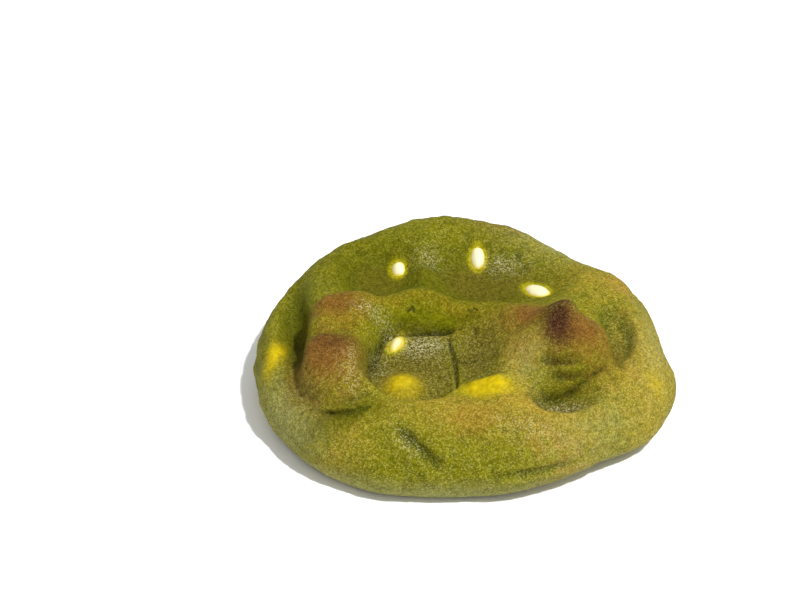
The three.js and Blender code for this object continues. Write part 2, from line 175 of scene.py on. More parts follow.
# Chips whose tops show: centre, half sizes, tilts about X and Y and spin about Z in degrees.
chips = {
    "chip_back_left": {"at": (-14.8, 24.5, 11), "half": (2.6, 3.6, 3.0), "tilt": (20, -14), "spin": 0},
    "chip_back": {"at": (3, 27.6, 12.3), "half": (2.2, 4.4, 3.2), "tilt": (26, 2), "spin": 0},
    "chip_basin": {"at": (17, 15, 11.6), "half": (5.6, 3.0, 3.0), "tilt": (6, -9), "spin": -50},
    "chip_pan": {"at": (-16, -4.3, 11.8), "half": (2.1, 4.0, 2.8), "tilt": (12, 6), "spin": -24,
                 "film": 1.5},
}
chipForm = {
    "taper": 0.16,  # how much narrower the top is than the middle
    "around": 64,  # grid cells
    "along": 40,
    "uneven": 0.1,
    "unevenSize": 1.6,
    "firstSeed": 40,
    "film": 0.6,  # mm above the dough up to which a yellow film covers a chip
    "reach": 2.5,  # how far round a chip the dough is searched, in its largest half size
}

# How each kind of feature fades: with distance in its own radii, and between two heights of the bare form.
fade = {
    "atRadius": 0.9,  # exp(-0.9) of a mound's or dome's rise is left at one radius
    "domePower": 3,
    "hollowEdge": 1.6,  # sharpness of a hollow's edge
    "floorEdge": (0.3, 1.6),  # mm above a hollow's floor
    "lipDistance": 1.9,  # crease widths from the crease to the crest of its lip
    "moundHeights": (1, 7),
    "hollowHeights": (6, 10),
    "creaseHeights": (1, 4),
    "reliefHeights": (0.3, 4),
}

# Relief of the skin: bending waves, then random bumps from large to small, then pores.
skin = {
    "waves": 0.3, "waveSize": 4.1,
    "waveX": {"bend": 1.2, "bendSize": 1.5},
    "waveY": {"size": 0.9, "bend": 1.1, "slant": 0.4},
    "ripples": 0.12, "rippleSize": 2.0, "rippleSlants": (0.7, 0.9), "rippleStarts": (1.3, 0.4),
    "bumps": [(5.2, 0.3), (2.4, 0.15), (1.25, 0.10), (0.8, 0.08)],  # size and height in mm
    "bumpSeed": 11,
    "poreSize": 4.5, "poreShare": 0.35, "poreRadius": 0.45, "poreDepth": 0.55, "poreSeed": 3,
    "poreSpread": (0.6, 0.8),  # the least part of the radius, and how much chance adds
}


# Rises from 0 to 1 between two values with a flat start and end: 3t squared less 2t cubed.
def between(value, low, high):
    t = np.clip((value - low) / (high - low), 0, 1)
    return t * t * (3 - 2 * t)


# Radius of the rim at an angle: a Catmull-Rom curve through the plan radii.
def planRadius(angle):
    radii = np.array(doughForm["planRadii"], float)
    count = len(radii)
    place = (angle / (2 * np.pi)) % 1.0 * count
    i = np.floor(place).astype(int) % count
    f = place - np.floor(place)
    a, b, c, d = (radii[(i + k) % count] for k in (-1, 0, 1, 2))
    bend = 2 * a - 5 * b + 4 * c - d
    twist = 3 * b - a - 3 * c + d
    return 0.5 * (2 * b + (c - a) * f + bend * f ** 2 + twist * f ** 3)


# Distance from an oval's middle in oval radii: the root of |u|^p + |v|^p. Power 2 is an ellipse.
def ovalDistance(x, y, oval, power=2.0):
    turn = math.radians(oval.get("turn", 0))
    dx, dy = x - oval["at"][0], y - oval["at"][1]
    u = np.abs(dx * math.cos(turn) + dy * math.sin(turn)) / oval["half"][0]
    v = np.abs(dy * math.cos(turn) - dx * math.sin(turn)) / oval["half"][1]
    return (u ** power + v ** power) ** (1 / power)


# A square of side 2 laid on a disc: the larger side is the ring, the smaller over it sets the angle.
def squareToDisc(u, v):
    ring = np.maximum(np.abs(u), np.abs(v))
    across = np.minimum(np.abs(u), np.abs(v)) / np.maximum(ring, 1e-12) * np.pi / 4
    corner = np.where(np.abs(u) >= np.abs(v), across, np.pi / 2 - across)
    x = np.cos(corner) * np.where(u < 0, -1, 1)
    y = np.sin(corner) * np.where(v < 0, -1, 1)
    return ring, np.arctan2(y, x)


# Stage of the section (0 crown, 1 rim, 2 sole) at a share of its length, by running sums of the steps.
def sectionStage(share):
    rise = doughForm["crownHeight"] - doughForm["rimHeight"]
    a, b = (np.linspace(0, np.pi / 2, count) for count in doughForm["samples"])
    b = b[1:]
    out = np.sin(a) ** (2 / doughForm["middleShoulder"])
    x = np.concatenate([out * doughForm["middleRadius"],
                        doughForm["middleRadius"] - doughForm["undercut"] * (1 - np.cos(b))])
    z = np.concatenate([doughForm["rimHeight"] + rise * np.cos(a), doughForm["rimHeight"] * (1 - np.sin(b))])
    stage = np.concatenate([out, 1 + b / (np.pi / 2)])
    run = np.concatenate([[0], np.cumsum(np.hypot(np.diff(x), np.diff(z)))])
    return np.interp(share, run / run[-1], stage)


# The bare form: a superellipse shoulder from crown to rim, then a quarter ellipse in to the sole.
def bareForm(share, angle):
    stage = sectionStage(share)
    out = np.minimum(stage, 1)
    under = np.clip(stage - 1, 0, 1) * np.pi / 2
    backness = 0.5 + 0.5 * np.sin(angle)
    power = doughForm["shoulderFront"] + (doughForm["shoulderBack"] - doughForm["shoulderFront"]) * backness
    level = np.sqrt(np.clip(1 - out ** power, 0, 1))
    fromLift = (np.degrees(angle) % 360 - doughForm["liftAt"]) / doughForm["liftSpread"]
    undercut = doughForm["undercut"] + doughForm["lift"] * np.exp(-fromLift ** 2)
    radius = planRadius(angle) * out - undercut * (1 - np.cos(under))
    top = doughForm["rimHeight"] + (doughForm["crownHeight"] - doughForm["rimHeight"]) * level
    height = np.where(stage <= 1, top, doughForm["rimHeight"] * (1 - np.sin(under)))
    up = np.where(stage <= 1, level, -np.sin(under))
    side = np.sqrt(np.clip(1 - up * up, 0, 1))
    point = np.stack([radius * np.cos(angle), radius * np.sin(angle), height], -1)
    outward = np.stack([side * np.cos(angle), side * np.sin(angle), up], -1)
    return point, outward


# A random number from 0 to 1 for each cell of a lattice, by mixing its three whole numbers.
def cellNumber(i, j, k, seed):
    n = (i * 374761393 + j * 668265263 + k * 1103515245 + seed * 1274126177) & 0xFFFFFFFF
    n = ((n ^ (n >> 13)) * 1274126177) & 0xFFFFFFFF
    return (n ^ (n >> 16)) / 0xFFFFFFFF


# Value noise from -1 to 1: a random number at each corner of a cubic lattice, blended smoothly between.
def valueNoise(points, size, seed):
    cell = points / size
    low = np.floor(cell).astype(np.int64)
    f = cell - low
    f = f * f * (3 - 2 * f)
    total = np.zeros(points.shape[:-1])
    for corner in np.ndindex(2, 2, 2):
        weight = np.prod(np.where(np.array(corner) == 1, f, 1 - f), axis=-1)
        total += weight * cellNumber(*(low[..., axis] + corner[axis] for axis in range(3)), seed)
    return total * 2 - 1


# Depth of pores, 0 to 1: some lattice cells hold a pit, exp(-(distance / radius) squared) deep.
def pores(points, size, share, radius, seed):
    low = np.floor(points / size).astype(np.int64)
    depth = np.zeros(points.shape[:-1])
    for step in np.ndindex(3, 3, 3):
        cell = [low[..., axis] + step[axis] - 1 for axis in range(3)]
        place = np.stack([(cell[axis] + cellNumber(*cell, seed + axis)) * size for axis in range(3)], -1)
        away = np.linalg.norm(points - place, axis=-1)
        isOpen = cellNumber(*cell, seed + 7) < share
        wide = radius * (skin["poreSpread"][0] + skin["poreSpread"][1] * cellNumber(*cell, seed + 9))
        depth = np.maximum(depth, np.where(isOpen, np.exp(-(away / wide) ** 2), 0))
    return depth


# Nearest place on a path of straight steps: how far off, on which side, and the share along it.
def nearestOnPath(points, outward, path):
    stops = np.array(path, float)
    steps = np.diff(stops, axis=0)
    lengths = np.linalg.norm(steps, axis=1)
    distance = np.full(points.shape[:-1], 1e9)
    side = np.zeros_like(distance)
    share = np.zeros_like(distance)
    run = 0.0
    for start, step, length in zip(stops, steps, lengths):
        t = np.clip((points - start) @ step / length ** 2, 0, 1)
        away = points - (start + t[..., None] * step)
        far = np.linalg.norm(away, axis=-1)
        nearer = far < distance
        side = np.where(nearer, (np.cross(step, away) * outward).sum(-1), side)
        share = np.where(nearer, (run + t * length) / lengths.sum(), share)
        distance = np.where(nearer, far, distance)
        run += length
    return distance, side, share


# Moves the surface outwards and along each mound's lean by rise times exp(-distance to a power).
def raiseMounds(point, bare, outward):
    for mound in mounds.values():
        d = ovalDistance(bare[..., 0], bare[..., 1], mound)
        amount = mound["rise"] * np.exp(-fade["atRadius"] * d ** (2 * mound["steep"]))
        amount = amount * between(bare[..., 2], *fade["moundHeights"])
        point += amount[..., None] * (outward + np.array([*mound.get("lean", (0, 0)), 0.0]))


# Lowers the surface towards each floor by 1 / (1 + exp(distance from the edge over its softness)).
# Returns how surely each place lies on the floor of a hollow, 0 to 1, for the colours.
def sinkHollows(point, bare):
    onFloor = np.zeros(bare.shape[:-1])
    for hollow in hollows.values():
        x, y = bare[..., 0], bare[..., 1]
        d = ovalDistance(x, y, hollow, hollow["square"])
        inside = 1 / (1 + np.exp((d - 1) / hollow["soft"] * fade["hollowEdge"]))
        inside = inside * between(bare[..., 2], *fade["hollowHeights"])
        slope = hollow.get("slope", (0, 0))
        floor = hollow["floor"] + slope[0] * (x - hollow["at"][0]) + slope[1] * (y - hollow["at"][1])
        point[..., 2] += (np.minimum(point[..., 2], floor) - point[..., 2]) * inside
        above = np.abs(point[..., 2] - floor)
        onFloor = np.maximum(onFloor, inside * (1 - between(above, *fade["floorEdge"])))
    return onFloor


# Lifts the surface by rise times exp(-distance cubed) over each covered chip.
def raiseDomes(point, bare):
    for dome in domes.values():
        d = ovalDistance(bare[..., 0], bare[..., 1], dome)
        rise = dome["rise"] * np.exp(-fade["atRadius"] * d ** fade["domePower"])
        point[..., 2] += rise * between(bare[..., 2], *fade["moundHeights"])


# Cuts each crease by exp(-widths squared) and raises its lips by the same curve set off to the side.
# Returns how deep in a crease each place is, 0 to 1, and how dark the painted shade in its crack is, for the
# colours.
def cutCreases(point, bare, outward):
    cutMask = np.zeros(bare.shape[:-1])
    crackShadeAmount = np.zeros(bare.shape[:-1])
    for crease in creases.values():
        distance, side, share = nearestOnPath(bare, outward, crease["path"])
        ends = between(share, 0, crease["tapers"][0]) * between(1 - share, 0, crease["tapers"][1])
        ends = ends * between(bare[..., 2], *fade["creaseHeights"])
        widths = distance / crease["width"]
        lip = np.where(side > 0, crease["lips"][0], crease["lips"][1])
        cut = np.exp(-widths ** 2)
        amount = (lip * np.exp(-(widths - fade["lipDistance"]) ** 2) - crease["depth"] * cut) * ends
        point += amount[..., None] * outward
        cutMask = np.maximum(cutMask, cut * ends)
        crackShadeAmount = np.maximum(crackShadeAmount, crease["crackShadeAmount"] * cut ** 2 * ends)
    return cutMask, crackShadeAmount


# A wave across X times a wave across Y, each bent by another wave so that no row of lumps repeats,
# plus two crossed ripples on the slant.
def waveHeight(bare):
    x, y, z = bare[..., 0], bare[..., 1], bare[..., 2]
    wide, fine = skin["waveSize"], skin["rippleSize"]
    first, second = skin["waveX"], skin["waveY"]
    acrossX = np.sin(x / wide + first["bend"] * np.sin(y / (first["bendSize"] * wide)))
    bend = second["bend"] * np.sin((z + second["slant"] * x) / wide)
    acrossY = np.cos(y / (second["size"] * wide) + bend)
    (slantX, slantY), (startX, startY) = skin["rippleSlants"], skin["rippleStarts"]
    ripple = np.sin((x + slantX * y) / fine + startX) * np.sin((y - slantY * z) / fine + startY)
    return skin["waves"] * acrossX * acrossY + skin["ripples"] * ripple


# Normals of a grid of points: the cross product of its two directions' differences.
def gridNormals(point):
    normal = np.cross(np.gradient(point, axis=0), np.gradient(point, axis=1))
    return normal / np.maximum(np.linalg.norm(normal, axis=-1, keepdims=True), 1e-12)


# Mean of each place, counted twice, with its four neighbours, over and over.
def blurGrid(values, times):
    for _ in range(times):
        wide = np.pad(values, [(1, 1), (1, 1)] + [(0, 0)] * (values.ndim - 2), mode="edge")
        values = (wide[:-2, 1:-1] + wide[2:, 1:-1] + wide[1:-1, :-2] + wide[1:-1, 2:] + 2 * values) / 6
    return values


# The dough's top and sides: the bare form with mounds, then hollows, domes, creases and the skin's relief.
def doughSurface():
    line = np.linspace(-1, 1, doughForm["cells"] + 1)
    ring, angle = squareToDisc(*np.meshgrid(line, line, indexing="ij"))
    bare, outward = bareForm(ring, angle)
    point = bare.copy()
    raiseMounds(point, bare, outward)
    onFloor = sinkHollows(point, bare)
    raiseDomes(point, bare)
    cutMask, crackShadeAmount = cutCreases(point, bare, outward)
    point += (waveHeight(bare) * between(bare[..., 2], *fade["reliefHeights"]))[..., None] * outward
    normal = gridNormals(point)
    relief = sum(height * valueNoise(point, size, seed)
                 for seed, (size, height) in enumerate(skin["bumps"], start=skin["bumpSeed"]))
    pits = pores(point, skin["poreSize"], skin["poreShare"], skin["poreRadius"], skin["poreSeed"])
    relief = relief - skin["poreDepth"] * pits
    point += (relief * between(bare[..., 2], *fade["reliefHeights"]))[..., None] * normal
    return point, bare, {"cut": cutMask, "paintedCrackShade": crackShadeAmount, "floor": onFloor}


# Where each mask of the crust lies on the finished surface, as ovals: X, Y, half sizes, turn and amount.
crust = {
    "browned": [
        (-31, -17.2, 6.6, 7.5, 0, 1.15), (-29.8, 0.3, 6, 4.4, 0, 0.95), (14.2, -3, 4.8, 4.4, 0, 1.1),
        (25, -11.6, 6.6, 6.4, 0, 1.0), (11, 38, 7, 4, 0, 0.5),
    ],
    "steep": [
        (21, -20.4, 7, 2.4, 12, 1.0), (-22.8, -13, 2.2, 8, 0, 0.8),
    ],
    "charred": [
        (19.8, -10.2, 3.2, 6.6, 0, 1.05), (20.6, -4.2, 3.4, 3, 0, 0.9), (-30.5, -13.4, 5, 3.6, 0, 0.5),
    ],
    "golden": [
        (12.5, -18, 5.6, 9, 0, 0.95), (8, -29.6, 21, 4.8, 0, 0.95), (39, -14, 9, 20, 0, 0.9),
        (30, 16, 12, 7, -40, 0.6), (-27, -25, 4, 5, 0, 0.6), (-27, -35, 6, 4, 0, 0.5),
        (7.5, -4, 4.6, 4.4, 0, 1.0),
    ],
    "ochre": [
        (-8, 2.4, 15, 3.6, 0, 0.9), (-27, -3, 8, 5, 0, 0.85), (-24, -13, 3, 9, 0, 0.6),
        (26, -16, 5, 4, 0, 0.7), (2, -33.5, 6, 2.4, 0, 0.5),
    ],
    "damp": [
        (-12, -13, 11, 14.4, 0, 1.0), (3, 18, 14, 8, 0, 0.8), (-20, 19.5, 8.5, 9, 0, 0.5),
        (33.8, -5, 3, 9, 0, 0.35),
    ],
    # Dark olive dough at the back, and painted shade in the left gully, under the left knob and in the
    # back-left cup.
    "oliveAndShade": [
        (2, 18, 17, 12, 0, 1.0), (-20, 20, 11, 12, 0, 1.1), (22, -22.6, 7, 2.6, 12, 0.35),
        (-6, 1, 10, 1.7, 0, 0.85), (-38.6, 2, 3, 17, 0, 0.9), (-28, -30.5, 9, 3, 4, 0.9),
    ],
    "tanned": [
        (0.5, -33, 5, 2.6, 0, 0.8), (14, -29, 6, 2.6, -20, 0.4), (19, -36, 6, 3.5, 0, 0.5),
        (35.5, 17, 3, 4, 0, 0.6), (11, -13, 3, 4, 0, 0.4),
    ],
    # Painted light: pale bounce light and sheen on the rims and on a few slopes.
    "low": [
        (-40.6, -25, 4, 10, 31, 0.8), (20, 37, 14, 6, -28, 1.0), (13, -17, 3.2, 5, 0, 0.35),
        (42, -8, 5, 14, 0, 0.35), (28, -33, 11, 6, 35, 0.33),
    ],
    # Painted shade in the left gully beside the left knob and ridge.
    "paintedCrackShade": [
        (-37.8, -5, 1.6, 9.5, 2, 0.9),
    ],
    "facet": [
        (20.4, -25.6, 5, 2.4, 6, 0.9), (2.2, -9.8, 4.9, 8.4, -4, 1.0),
    ],
    # Places where painted glints lie.
    "paintedGlintSpots": [
        (-10.2, -4.6, 4.6, 3.0, 0, 0.95), (-19.5, -13, 2, 4.4, 0, 0.35), (20.4, -25.8, 4.4, 1.8, 6, 0.75),
        (-13.4, -38, 3, 1.4, -45, 0.6), (11, -34.6, 6, 1.8, -5, 0.3), (-20.5, -1.8, 4.4, 1.5, 0, 0.6),
        (-25.4, -21.5, 2, 5, 0, 0.4), (9, 25, 4, 2.4, 0, 0.6), (-8.5, 25, 3, 3, 0, 0.4),
    ],
    "yellow": [
        (-14.6, -19.3, 3.6, 3.6, 0, 0.8), (3.8, -23.6, 4.8, 2.5, -16, 1.2), (-43, -8.5, 1.7, 5, -14, 0.95),
        (41.5, -17.5, 2, 2.4, 0, 0.3),
    ],
}

# Sharpness of each kind of oval's edge, as the power of the distance.
crustEdge = {
    "browned": 2.2, "tanned": 2.0, "low": 2.0, "charred": 2.8, "golden": 1.8, "ochre": 1.8, "oliveAndShade": 3.0,
    "damp": 3.4, "paintedCrackShade": 2.4, "steep": 3.0, "facet": 3.0, "paintedGlintSpots": 2.2, "yellow": 2.6,
}
maskForm = {
    "atRadius": 0.7,  # exp(-0.7) of an oval's amount is left at one radius
    "topHeights": (13.0, 17.0),  # the top of the cookie, by the bare form
    "bounceLightHeights": (1.0, 9.0),  # painted bounce light on the foot of the side
    "steepness": (0.5, 0.93),  # slopes whose normal rises less are green, more are baked
    "haloDepth": 1.0,  # mm of dough over a chip that still shows it yellow
    "nearBlur": 12,  # how often a surface is blurred to be compared with
    "broadBlur": 60,
    "slopeBlur": 10,
    "cutShare": 0.8,
    "nearDepth": 0.22,  # mm under the blurred surface that count as wholly sunken
    "broadDepth": 1.6,
    "goldenCover": 0.85,  # how much golden crust hides the green of a slope
}


# A mask from ovals: the strongest of amount times exp(-distance to a power) at each place.
def crustMask(name, point):
    mask = np.zeros(point.shape[:-1])
    for x, y, halfX, halfY, turn, amount in crust[name]:
        oval = {"at": (x, y), "half": (halfX, halfY), "turn": turn}
        d = ovalDistance(point[..., 0], point[..., 1], oval)
        mask = np.maximum(mask, amount * np.exp(-maskForm["atRadius"] * d ** crustEdge[name]))
    return mask


# The matrix that turns a chip about X, then Y, then Z.
def chipTurns(chip):
    a, b = (math.radians(t) for t in chip["tilt"])
    c = math.radians(chip["spin"])
    aroundX = np.array([[1, 0, 0], [0, math.cos(a), -math.sin(a)], [0, math.sin(a), math.cos(a)]])
    aroundY = np.array([[math.cos(b), 0, math.sin(b)], [0, 1, 0], [-math.sin(b), 0, math.cos(b)]])
    aroundZ = np.array([[math.cos(c), -math.sin(c), 0], [math.sin(c), math.cos(c), 0], [0, 0, 1]])
    return aroundZ @ aroundY @ aroundX


# A place in a chip's own axes, undoing its turns, in units of its half sizes.
def inChipAxes(point, chip):
    return (point - np.array(chip["at"])) @ chipTurns(chip) / np.array(chip["half"])


# How far a place is outside a chip, in mm: its distance in radii less 1, times the mean radius.
def outsideChip(point, chip):
    own = inChipAxes(point, chip)
    narrowing = 1 - chipForm["taper"] * own[..., 2]
    own = own * np.stack([1 / narrowing, 1 / narrowing, np.ones_like(narrowing)], -1)
    return (np.linalg.norm(own, axis=-1) - 1) * np.mean(chip["half"])


# How far each place lies under the surface blurred so many times, in mm along its normal.
def depthUnder(point, normal, times):
    return ((blurGrid(point, times) - point) * normal).sum(-1)


# The dough's masks: the ovals, the halo exp(-(distance outside a chip / its depth) squared), painted bounce
# light on the low foot, painted shade where the surface lies sunken under its blurred copy, and the slopes
# of the top by how little they face up.
def doughMasks(point, bare, traces):
    normal = gridNormals(point)
    masks = {name: crustMask(name, point) for name in crust}
    masks["damp"] = np.maximum(masks["damp"] * traces["floor"], masks.pop("facet"))
    covers = [np.exp(-(np.maximum(outsideChip(point, chip), 0) / maskForm["haloDepth"]) ** 2)
              for chip in chips.values()]
    masks["halo"] = np.max(covers, axis=0)
    # Painted bounce light on the foot of the side.
    masks["low"] = np.maximum(masks["low"], 1 - between(bare[..., 2], *maskForm["bounceLightHeights"]))
    # Painted shade in the cracks of the creases and in the gully.
    masks["paintedCrackShade"] = np.maximum(masks["paintedCrackShade"], traces["paintedCrackShade"])
    # Painted shade: darker in creases and wherever the surface lies under its blurred copy.
    near = depthUnder(point, normal, maskForm["nearBlur"]) / maskForm["nearDepth"]
    broad = depthUnder(point, normal, maskForm["broadBlur"]) / maskForm["broadDepth"]
    masks["paintedRecessShade"] = np.clip(traces["cut"] * maskForm["cutShare"] + near + broad, 0, 1)
    facing = np.abs(gridNormals(blurGrid(point, maskForm["slopeBlur"]))[..., 2])
    steep = (1 - between(facing, *maskForm["steepness"])) * between(bare[..., 2], *maskForm["topHeights"])
    steep = steep * (1 - maskForm["goldenCover"] * np.clip(masks["golden"], 0, 1))
    masks["steep"] = np.maximum(steep, masks["steep"])
    return masks


# Puts new data into the scene as an object.
def addObject(name, data):
    made = bpy.data.objects.new(name, data)
    scene.collection.objects.link(made)
    return made


# Builds a mesh object from points in mm, its faces and its float attributes.
def makePiece(name, point, faces, masks):
    mesh = bpy.data.meshes.new(name)
    mesh.from_pydata((point * mm).tolist(), [], faces)
    for maskName, values in masks.items():
        layer = mesh.attributes.new(maskName, "FLOAT", "POINT")
        layer.data.foreach_set("value", np.asarray(values, np.float32).ravel())
    mesh.polygons.foreach_set("use_smooth", np.ones(len(mesh.polygons), bool))
    mesh.update()
    return addObject(name, mesh)


# Four corners of each cell between two rows of points that close on themselves.
def bandFaces(outer, inner):
    corners = [outer, inner, np.roll(inner, -1, axis=1), np.roll(outer, -1, axis=1)]
    return np.stack(corners, -1).reshape(-1, 4)


# Closes the grid's edge loop with flat rings that shrink to one point in the middle of the sole.
def closeSole(point, masks):
    n = doughForm["cells"]
    index = np.arange((n + 1) ** 2).reshape(n + 1, n + 1)
    quads = np.stack([index[:-1, :-1], index[1:, :-1], index[1:, 1:], index[:-1, 1:]], -1).reshape(-1, 4)
    loop = np.concatenate([index[:-1, 0], index[-1, :-1], index[:0:-1, -1], index[0, :0:-1]])
    flat = point.reshape(-1, 3)
    edge = flat[loop]
    centre = np.array([edge[:, 0].mean(), edge[:, 1].mean(), 0.0])
    shares = np.linspace(0, 1, doughForm["soleRings"] + 1)[1:-1]
    rings = edge[None] + (centre - edge)[None] * shares[:, None, None]
    middle = len(flat) + rings.shape[0] * len(loop)
    loops = np.concatenate([loop[None], np.arange(len(flat), middle).reshape(-1, len(loop))])
    under = bandFaces(loops[:-1], loops[1:])
    fan = np.stack([np.full(len(loop), middle), np.roll(loops[-1], -1), loops[-1]], -1)
    points = np.concatenate([flat, rings.reshape(-1, 3), centre[None]])
    extra = len(points) - len(flat)
    masks = {name: np.concatenate([values.ravel(), np.full(extra, values.ravel()[loop].mean())])
             for name, values in masks.items()}
    return points, quads.tolist() + under.tolist() + fan.tolist(), masks


# An egg on a grid of turns and slices: a unit ball narrowed upwards, sized, turned and moved.
def chipSurface(chip, seed):
    around, along = chipForm["around"], chipForm["along"]
    turn = np.linspace(0, 2 * np.pi, around, endpoint=False)
    slope = np.linspace(0, np.pi, along + 1)[1:-1]
    turns, slopes = np.meshgrid(turn, slope)
    ball = np.stack([np.sin(slopes) * np.cos(turns), np.sin(slopes) * np.sin(turns), np.cos(slopes)], -1)
    ball = np.concatenate([ball.reshape(-1, 3), [[0, 0, 1]], [[0, 0, -1]]])
    narrowing = (1 - chipForm["taper"] * ball[:, 2])[:, None]
    egg = ball * np.concatenate([narrowing, narrowing, np.ones_like(narrowing)], 1) * np.array(chip["half"])
    egg += chipForm["uneven"] * valueNoise(egg, chipForm["unevenSize"], seed)[:, None] * ball
    points = egg @ chipTurns(chip).T + np.array(chip["at"])
    rows = np.arange((along - 1) * around).reshape(along - 1, around)
    sides = bandFaces(rows[:-1], rows[1:])
    top, bottom = (along - 1) * around, (along - 1) * around + 1
    topFan = np.stack([np.full(around, top), rows[0], np.roll(rows[0], -1)], -1)
    bottomFan = np.stack([np.full(around, bottom), np.roll(rows[-1], -1), rows[-1]], -1)
    return points, sides.tolist() + topFan.tolist() + bottomFan.tolist()


# How far each of a chip's points stands above the nearest dough in plan, in mm.
def proudOf(points, dough, chip):
    away = np.linalg.norm(dough[:, :2] - np.array(chip["at"][:2]), axis=1)
    near = dough[away < chipForm["reach"] * max(chip["half"])]
    gaps = np.linalg.norm(points[:, None, :2] - near[None, :, :2], axis=-1)
    return points[:, 2] - near[np.argmin(gaps, axis=1), 2]


# Adds a node, sets its options, and fills or links its inputs by name or number.
def addNode(tree, kind, inputs=None, **options):
    made = tree.nodes.new(kind)
    for key, value in options.items():
        setattr(made, key, value)
    for key, value in (inputs or {}).items():
        if isinstance(value, bpy.types.NodeSocket):
            tree.links.new(value, made.inputs[key])
        else:
            made.inputs[key].default_value = value
    return made


# Two colours by a share: the first times 1 less the share, plus the second times the share.
def mixColour(tree, share, first, second):
    return addNode(tree, "ShaderNodeMix", {0: share, 6: first, 7: second}, data_type="RGBA").outputs[2]


# The result of one operation on two values.
def calc(tree, operation, first, second):
    return addNode(tree, "ShaderNodeMath", {0: first, 1: second}, operation=operation).outputs[0]


# A value times a factor, plus another value.
def stretch(tree, value, factor, added):
    return calc(tree, "ADD", calc(tree, "MULTIPLY", value, factor), added)


# A colour with each part times a factor.
def brighten(tree, colour, factor):
    return addNode(tree, "ShaderNodeVectorMath", {0: colour, 3: factor}, operation="SCALE").outputs[0]


# Rises from one new value to the other as the value goes from low to high: 3t squared less 2t cubed.
def remap(tree, value, low, high, newLow=0.0, newHigh=1.0):
    made = addNode(tree, "ShaderNodeMapRange", {0: value, 1: low, 2: high, 3: newLow, 4: newHigh},
                   interpolation_type="SMOOTHSTEP")
    return made.outputs[0]


# Noise at a place, as many waves per metre as its density, remapped from its range.
def noiseValue(tree, place, noise, newLow=0.0, newHigh=1.0):
    made = addNode(tree, "ShaderNodeTexNoise", {"Vector": place, "Scale": noise["density"],
                                                "Detail": noise["detail"], "Roughness": noise["rough"]})
    return remap(tree, made.outputs["Fac"], *noise["range"], newLow, newHigh)


# A value lowered by each named mask times its share.
def lowered(tree, value, found, shares):
    for name, share in shares.items():
        value = calc(tree, "SUBTRACT", value, calc(tree, "MULTIPLY", found[name], share))
    return value


# A node group with named inputs and outputs.
def newGroup(name, inputs, outputs):
    group = bpy.data.node_groups.new(name, "ShaderNodeTree")
    for label, kind, start in inputs:
        socket = group.interface.new_socket(label, in_out="INPUT", socket_type=kind)
        if start is not None:
            socket.default_value = start
    for label, kind in outputs:
        group.interface.new_socket(label, in_out="OUTPUT", socket_type=kind)
    return group, group.nodes.new("NodeGroupInput"), group.nodes.new("NodeGroupOutput")


grainForm = {
    "fineDetail": 2.0,
    "fineRough": 0.6,
    "fineShare": 0.65,  # the rest of the speckle is the tone of cells
    "cellShare": 0.35,
    "cellDensity": 1.1,  # in densities of the grain
    "gapDensity": 0.75,
    "gapDetail": 1.0,
    "gapRange": (0.56, 0.68),
    "gapDepth": 0.25,
    "speckleRange": (0.30, 0.80),
}


# Fine baked grain, its density in grains per metre. Speckle blends noise with the tone of random cells,
# Gap is where a coarser noise is high, and Height is the blend less a share of the gap.
def makeGrainGroup():
    group, given, result = newGroup(
        "grain",
        [("Position", "NodeSocketVector", None), ("Density", "NodeSocketFloat", 2600.0)],
        [("Speckle", "NodeSocketFloat"), ("Gap", "NodeSocketFloat"), ("Height", "NodeSocketFloat")],
    )
    place, density = given.outputs["Position"], given.outputs["Density"]
    fine = addNode(group, "ShaderNodeTexNoise",
                   {"Vector": place, "Scale": density, "Detail": grainForm["fineDetail"],
                    "Roughness": grainForm["fineRough"]})
    coarse = addNode(group, "ShaderNodeTexNoise",
                     {"Vector": place, "Scale": calc(group, "MULTIPLY", density, grainForm["gapDensity"]),
                      "Detail": grainForm["gapDetail"]})
    cells = addNode(group, "ShaderNodeTexVoronoi",
                    {"Vector": place, "Scale": calc(group, "MULTIPLY", density, grainForm["cellDensity"])})
    tone = addNode(group, "ShaderNodeSeparateColor", {0: cells.outputs["Color"]}).outputs[0]
    blended = stretch(group, fine.outputs["Fac"], grainForm["fineShare"],
                      calc(group, "MULTIPLY", tone, grainForm["cellShare"]))
    gap = remap(group, coarse.outputs["Fac"], *grainForm["gapRange"])
    height = calc(group, "SUBTRACT", blended, calc(group, "MULTIPLY", gap, grainForm["gapDepth"]))
    group.links.new(remap(group, blended, *grainForm["speckleRange"]), result.inputs["Speckle"])
    group.links.new(gap, result.inputs["Gap"])
    group.links.new(height, result.inputs["Height"])
    return group


raggedForm = {"detail": 3.0, "rough": 0.6, "middle": 0.5, "edge": 8.0}


# A mask with a ragged edge: the mask, plus centred noise times 8 mask (1 - mask) times the raggedness,
# held between 0 and 1.
def makeRaggedGroup():
    group, given, result = newGroup(
        "raggedMask",
        [("Position", "NodeSocketVector", None), ("Mask", "NodeSocketFloat", 0.0),
         ("Density", "NodeSocketFloat", 500.0), ("Raggedness", "NodeSocketFloat", 0.5)],
        [("Mask", "NodeSocketFloat")],
    )
    mask = given.outputs["Mask"]
    noise = addNode(group, "ShaderNodeTexNoise",
                    {"Vector": given.outputs["Position"], "Scale": given.outputs["Density"],
                     "Detail": raggedForm["detail"], "Roughness": raggedForm["rough"]})
    centred = calc(group, "SUBTRACT", noise.outputs["Fac"], raggedForm["middle"])
    hump = calc(group, "MULTIPLY", mask, calc(group, "SUBTRACT", 1.0, mask))
    edge = calc(group, "MULTIPLY", hump, raggedForm["edge"])
    pushed = calc(group, "MULTIPLY", calc(group, "MULTIPLY", centred, edge), given.outputs["Raggedness"])
    total = addNode(group, "ShaderNodeMath", {0: mask, 1: pushed}, operation="ADD", use_clamp=True)
    group.links.new(total.outputs[0], result.inputs["Mask"])
    return group


